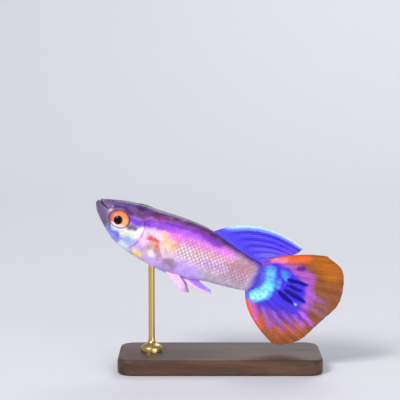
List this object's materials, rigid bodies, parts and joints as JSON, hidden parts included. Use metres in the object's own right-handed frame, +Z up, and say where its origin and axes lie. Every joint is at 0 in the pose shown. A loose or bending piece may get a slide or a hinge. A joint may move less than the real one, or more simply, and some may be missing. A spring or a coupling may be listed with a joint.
{
  "type": "fancy guppy model on stand",
  "caption": "Life-size male fancy guppy, head raised, with a swept blue dorsal fin and a wide fan tail edged orange, on a slim rod and flat plinth",
  "frame": {"origin": "centre of the plinth's flat underside, on the surface it stands on", "axes": "+X from head to tail along the plinth, +Y to the fish's right, +Z up"},
  "size_m": [0.0389, 0.015, 0.0268],
  "materials": {
    "skin": "painted scales, violet back over pink and silver flanks, satin gloss",
    "eye": "wet gloss, orange iris round a black pupil",
    "dorsal_fin": "blue violet rays with a pale upper edge, satin",
    "tail_fin": "aqua and deep blue at the root, orange at the margin, satin",
    "clear_fin": "nearly clear, faint peach rays",
    "pale_fin": "pinkish white to violet, satin",
    "stand_wood": "dark oiled walnut",
    "stand_brass": "brushed and lacquered"
  },
  "bodies": {
    "root": {"head": "skin", "trunk": "skin", "tail_stem": "skin", "eye_left": "eye", "eye_right": "eye", "dorsal_fin": "dorsal_fin", "tail_fin": "tail_fin", "pectoral_fin_left": "clear_fin", "pectoral_fin_right": "clear_fin", "pelvic_fin_left": "pale_fin", "pelvic_fin_right": "pale_fin", "gonopodium": "pale_fin", "stand_base": "stand_wood", "stand_rod": "stand_brass"}
  },
  "joints": []
}
